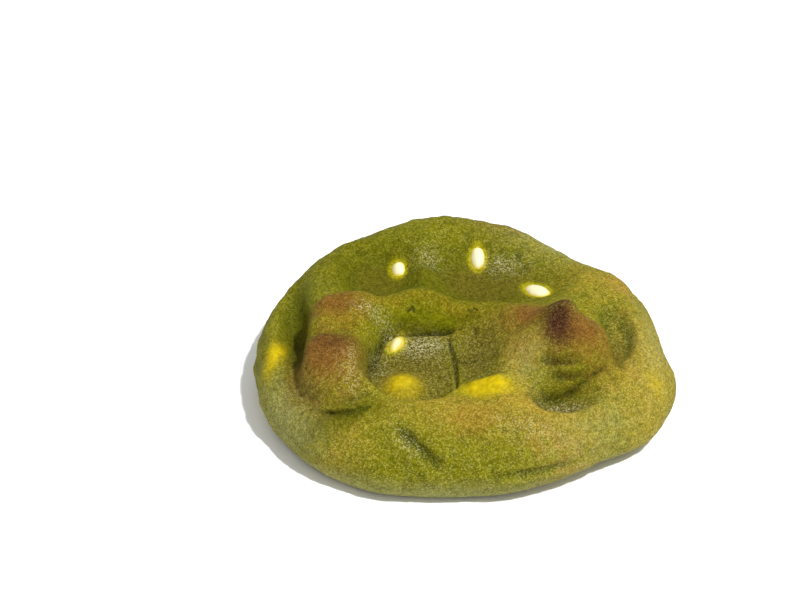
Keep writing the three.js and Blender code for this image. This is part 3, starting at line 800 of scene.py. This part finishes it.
# A new material, its node tree and shader, the place in the piece's own axes, and the grain there.
def startMaterial(name, grain, density):
    material = bpy.data.materials.new(name)
    material.use_nodes = True
    tree = material.node_tree
    place = addNode(tree, "ShaderNodeTexCoord").outputs["Object"]
    grains = addNode(tree, "ShaderNodeGroup", {"Position": place, "Density": density}, node_tree=grain)
    return material, tree, tree.nodes["Principled BSDF"], place, grains.outputs


# One of the mesh's masks with a ragged edge.
def raggedMask(tree, ragged, place, name, density, raggedness):
    attribute = addNode(tree, "ShaderNodeAttribute", attribute_name=name, attribute_type="GEOMETRY")
    edge = addNode(tree, "ShaderNodeGroup", {"Position": place, "Mask": attribute.outputs["Fac"],
                                             "Density": density, "Raggedness": raggedness}, node_tree=ragged)
    return edge.outputs["Mask"]


# Links colour, roughness and the bumps of a height to the shader.
def finishMaterial(tree, shader, colour, roughness, height, look):
    bump = addNode(tree, "ShaderNodeBump",
                   {"Strength": look["bump"], "Distance": look["bumpDistance"], "Height": height})
    tree.links.new(colour, shader.inputs["Base Color"])
    tree.links.new(roughness, shader.inputs["Roughness"])
    tree.links.new(bump.outputs[0], shader.inputs["Normal"])


doughFinish = {
    "green": (0.175, 0.166, 0.003, 1),
    # deep green: random darker patches of the dough, and also the painted shade in recesses
    "deepGreenAndShade": (0.085, 0.092, 0.003, 1),
    # dark olive of the dough, partly painted shade
    "oliveAndShade": (0.098, 0.095, 0.002, 1),
    "steepGreen": (0.165, 0.170, 0.002, 1),
    "golden": (0.300, 0.220, 0.018, 1),
    "blush": (0.330, 0.190, 0.025, 1),
    "ochre": (0.215, 0.150, 0.004, 1),
    "browned": (0.176, 0.080, 0.014, 1),
    "charred": (0.054, 0.017, 0.008, 1),
    "damp": (0.105, 0.086, 0.008, 1),
    "yellow": (0.520, 0.385, 0.003, 1),
    "halo": (0.34, 0.30, 0.004, 1),
    # pale specks of the crumb, partly painted glints
    "paleSpeckAndGlint": (0.44, 0.40, 0.13, 1),
    # near-white colour of the painted glints
    "paintedGlint": (0.56, 0.52, 0.32, 1),
    # pale colour of the painted bounce light and sheen
    "low": (0.340, 0.340, 0.140, 1),
    # near black: the painted shade in cracks, creases and the gully
    "paintedCrackShade": (0.022, 0.020, 0.002, 1),
    "gap": (0.050, 0.050, 0.002, 1),
    "grainDensity": 3200.0,
    "patches": {"density": 420.0, "detail": 4.0, "rough": 0.6, "range": (0.38, 0.68)},
    "patchShare": 0.55,
    "blushes": {"density": 230.0, "detail": 3.0, "rough": 0.5, "range": (0.5, 0.68)},
    "blushShare": 0.5,
    "clumps": {"density": 1100.0, "detail": 1.0, "rough": 0.5, "range": (0.3, 0.7)},
    "clumpSwing": 0.14,
    "yellowSmooth": 0.85,  # how much yellow skin evens the speckle out, towards the even tone
    "evenTone": 0.45,
    "speckleContrast": 0.62,
    "darkest": 0.75,  # brightness where the speckle is 0
    "gapShare": 0.16,
    "dryLess": {"yellow": 0.75},
    "speckAndGlintRange": (0.35, 1.0),  # speckle that shows pale specks, partly painted glints
    "speckAndGlintShare": 0.36,
    "speckAndGlintLess": {"browned": 0.22, "charred": 0.08, "oliveAndShade": 0.3, "ochre": 0.16},
    "glintRange": (0.2, 0.9),
    "glintShare": 0.65,
    "roughness": 0.55,
    "roughnessLess": {"damp": 0.14, "yellow": 0.12},
    "roughnessSpeckle": 0.25,
    "specular": 0.02,
    "bump": 0.6,
    "bumpDistance": 0.00018,
}

# The ragged edge of each mask: its noise per metre and its raggedness.
maskEdges = {
    "golden": (380.0, 0.7), "tanned": (420.0, 0.9), "ochre": (420.0, 0.6), "oliveAndShade": (450.0, 0.6),
    "steep": (500.0, 0.4), "paintedRecessShade": (700.0, 0.4), "low": (450.0, 0.5), "browned": (600.0, 0.6),
    "charred": (700.0, 0.6), "damp": (500.0, 0.5), "yellow": (500.0, 0.2), "halo": (900.0, 0.4),
    "paintedCrackShade": (900.0, 0.5), "paintedGlintSpots": (900.0, 1.0),
}

# Colours laid over the green and golden in this order: mask, colour, and the most that it covers.
# Some layers are painted light and shade: shade in recesses, cracks and olive hollows, and bounce light on
# the low foot.
crustLayers = [
    ("tanned", "blush", 1.0), ("ochre", "ochre", 1.0), ("oliveAndShade", "oliveAndShade", 1.0),
    ("steep", "steepGreen", 0.8), ("paintedRecessShade", "deepGreenAndShade", 0.8), ("low", "low", 0.6),
    ("browned", "browned", 1.0), ("charred", "charred", 1.0), ("damp", "damp", 1.0),
    ("yellow", "yellow", 1.0), ("halo", "halo", 1.0), ("paintedCrackShade", "paintedCrackShade", 0.75),
]


# Green with deeper patches, then golden with a blush, the layers, and the grain over all of them: it
# scales the brightness, darkens gaps, shows pale specks that are partly painted glints, and adds painted
# glints where their mask lies.
def makeDoughMaterial(grain, ragged):
    look = doughFinish
    material, tree, shader, place, grains = startMaterial("bakedMatchaDough", grain, look["grainDensity"])
    found = {name: raggedMask(tree, ragged, place, name, *edge) for name, edge in maskEdges.items()}

    patch = calc(tree, "MULTIPLY", noiseValue(tree, place, look["patches"]), look["patchShare"])
    colour = mixColour(tree, patch, look["green"], look["deepGreenAndShade"])
    colour = mixColour(tree, found["golden"], colour, look["golden"])
    blushOver = calc(tree, "MULTIPLY", found["golden"], look["blushShare"])
    blush = calc(tree, "MULTIPLY", noiseValue(tree, place, look["blushes"]), blushOver)
    colour = mixColour(tree, blush, colour, look["blush"])
    for name, tint, share in crustLayers:
        colour = mixColour(tree, calc(tree, "MULTIPLY", found[name], share), colour, look[tint])

    smooth = calc(tree, "MULTIPLY", found["yellow"], look["yellowSmooth"])
    evened = {0: smooth, 2: grains["Speckle"], 3: look["evenTone"]}
    speckle = addNode(tree, "ShaderNodeMix", evened).outputs[0]
    clump = noiseValue(tree, place, look["clumps"], -look["clumpSwing"], look["clumpSwing"])
    base = calc(tree, "ADD", clump, look["darkest"])
    colour = brighten(tree, colour, stretch(tree, speckle, look["speckleContrast"], base))
    dry = lowered(tree, 1.0, found, look["dryLess"])
    gaps = calc(tree, "MULTIPLY", calc(tree, "MULTIPLY", grains["Gap"], dry), look["gapShare"])
    colour = mixColour(tree, gaps, colour, look["gap"])
    # Pale specks of the crumb, partly painted glints.
    speckAndGlintAmount = calc(tree, "MAXIMUM", lowered(tree, look["speckAndGlintShare"], found, look["speckAndGlintLess"]), 0.0)
    paleSpeckAndGlint = calc(tree, "MULTIPLY", remap(tree, speckle, *look["speckAndGlintRange"]), speckAndGlintAmount)
    colour = mixColour(tree, paleSpeckAndGlint, colour, look["paleSpeckAndGlint"])
    # Painted glints where their mask lies.
    paintedGlintSpots = calc(tree, "MULTIPLY", found["paintedGlintSpots"], remap(tree, speckle, *look["glintRange"]))
    colour = mixColour(tree, calc(tree, "MULTIPLY", paintedGlintSpots, look["glintShare"]), colour, look["paintedGlint"])

    rough = lowered(tree, look["roughness"], found, look["roughnessLess"])
    rough = stretch(tree, speckle, look["roughnessSpeckle"], rough)
    finishMaterial(tree, shader, colour, rough, calc(tree, "MULTIPLY", grains["Height"], dry), look)
    shader.inputs["Specular IOR Level"].default_value = look["specular"]
    return material


chipFinish = {
    "white": (0.86, 0.80, 0.50, 1),
    "margin": (0.66, 0.50, 0.02, 1),
    "marginEdge": (700.0, 0.3),  # noise per metre and raggedness
    "speckleContrast": 0.06,
    "darkest": 0.97,
    "roughness": 0.32,
    "roughnessSpeckle": 0.12,
    "bump": 0.12,
    "bumpDistance": 0.0001,
    "grainDensity": 1500.0,
}


# White with a yellow margin where the dough's film reaches, and a faint grain.
def makeChipMaterial(grain, ragged):
    look = chipFinish
    material, tree, shader, place, grains = startMaterial("whiteChocolate", grain, look["grainDensity"])
    margin = raggedMask(tree, ragged, place, "margin", *look["marginEdge"])
    colour = mixColour(tree, margin, look["white"], look["margin"])
    tone = stretch(tree, grains["Speckle"], look["speckleContrast"], look["darkest"])
    colour = brighten(tree, colour, tone)
    rough = stretch(tree, grains["Speckle"], look["roughnessSpeckle"], look["roughness"])
    finishMaterial(tree, shader, colour, rough, grains["Height"], look)
    return material


grainGroup = makeGrainGroup()
raggedGroup = makeRaggedGroup()
doughMaterial = makeDoughMaterial(grainGroup, raggedGroup)
chipMaterial = makeChipMaterial(grainGroup, raggedGroup)
print("materials: dough and white chocolate")

surface, bareSurface, traces = doughSurface()
masks = doughMasks(surface, bareSurface, traces)
low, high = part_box("dough")
boxMiddle = (surface.reshape(-1, 3).min(0) + surface.reshape(-1, 3).max(0)) / 2
shift = np.array([(low.x + high.x) / 2 / mm - boxMiddle[0], (low.y + high.y) / 2 / mm - boxMiddle[1], 0.0])
points, faces, masks = closeSole(surface, masks)
dough = makePiece("matchaDough", points + shift, faces, masks)
dough.data.materials.append(doughMaterial)
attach(dough, "root")
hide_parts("dough")
print("dough:", len(points), "points, moved by", shift.round(2))

for seed, (name, chip) in enumerate(chips.items(), start=chipForm["firstSeed"]):
    egg, eggFaces = chipSurface(chip, seed)
    proud = proudOf(egg, surface.reshape(-1, 3), chip)
    margin = 1 - between(proud, 0.0, chip.get("film", chipForm["film"]))
    piece = makePiece(name.replace("chip_", "whiteChip_"), egg + shift, eggFaces, {"margin": margin})
    piece.data.materials.append(chipMaterial)
    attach(piece, "root")
    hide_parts(name)
print("chips:", len(chips))


studio = {
    "floorSize": 4.0,
    "floorColour": (0.93, 0.93, 0.93, 1),
    "floorRoughness": 0.9,
    "floorSpecular": 0.1,
    "sunTurn": -32,  # degrees from +X, counterclockwise
    "sunHeight": 63,  # degrees
    "sunPower": 3.2,
    "sunSoftness": 4.0,
    "skyColour": (1.0, 1.0, 1.0, 1),
    "skyPower": 0.70,
    "skyHorizon": 0.08,  # the power below the fade
    "skyFade": (-0.05, 0.55),  # the power grows between these Z of a direction
}

half = studio["floorSize"] / 2
floorMesh = bpy.data.meshes.new("floor")
floorCorners = [(-half, -half, 0), (half, -half, 0), (half, half, 0), (-half, half, 0)]
floorMesh.from_pydata(floorCorners, [], [(0, 1, 2, 3)])
floor = addObject("floor", floorMesh)
floorMaterial = bpy.data.materials.new("palePaper")
floorMaterial.use_nodes = True
floorShader = floorMaterial.node_tree.nodes["Principled BSDF"]
floorShader.inputs["Base Color"].default_value = studio["floorColour"]
floorShader.inputs["Roughness"].default_value = studio["floorRoughness"]
floorShader.inputs["Specular IOR Level"].default_value = studio["floorSpecular"]
floorMesh.materials.append(floorMaterial)

sunData = bpy.data.lights.new("sun", "SUN")
sunData.energy = studio["sunPower"]
sunData.angle = math.radians(studio["sunSoftness"])
sun = addObject("sun", sunData)
turn, height = math.radians(studio["sunTurn"]), math.radians(studio["sunHeight"])
toSun = Vector((math.cos(height) * math.cos(turn), math.cos(height) * math.sin(turn), math.sin(height)))
sun.rotation_euler = toSun.to_track_quat("Z", "Y").to_euler()

# The sky's power rises smoothly with how far up a direction points.
world = bpy.data.worlds.new("softSky")
world.use_nodes = True
sky = world.node_tree
background = sky.nodes["Background"]
background.inputs["Color"].default_value = studio["skyColour"]
direction = addNode(sky, "ShaderNodeTexCoord").outputs["Generated"]
upward = addNode(sky, "ShaderNodeSeparateXYZ", {0: direction}).outputs["Z"]
skyStrength = remap(sky, upward, *studio["skyFade"], studio["skyHorizon"], studio["skyPower"])
sky.links.new(skyStrength, background.inputs["Strength"])
scene.world = world
scene.view_settings.view_transform = "Standard"
print("studio: floor, sun and sky")

view = {
    "target": (-15.0, 29.5),  # mm in the dough's own place
    "distance": 0.75,
    "elevation": 38,  # degrees
    "sensor": 36.0,
    "lens": 143.4,
    "clipEnd": 20,
}

tilt = math.radians(view["elevation"])
forward = Vector((0, math.cos(tilt), -math.sin(tilt)))
target = Vector(((view["target"][0] + shift[0]) * mm, (view["target"][1] + shift[1]) * mm, 0))
cameraData = bpy.data.cameras.new("camera")
cameraData.sensor_width = view["sensor"]
cameraData.lens = view["lens"]
cameraData.clip_end = view["clipEnd"]
camera = addObject("camera", cameraData)
camera.location = target - forward * view["distance"]
camera.rotation_euler = (math.pi / 2 - tilt, 0, 0)
scene.camera = camera
print("camera: elevation", view["elevation"])
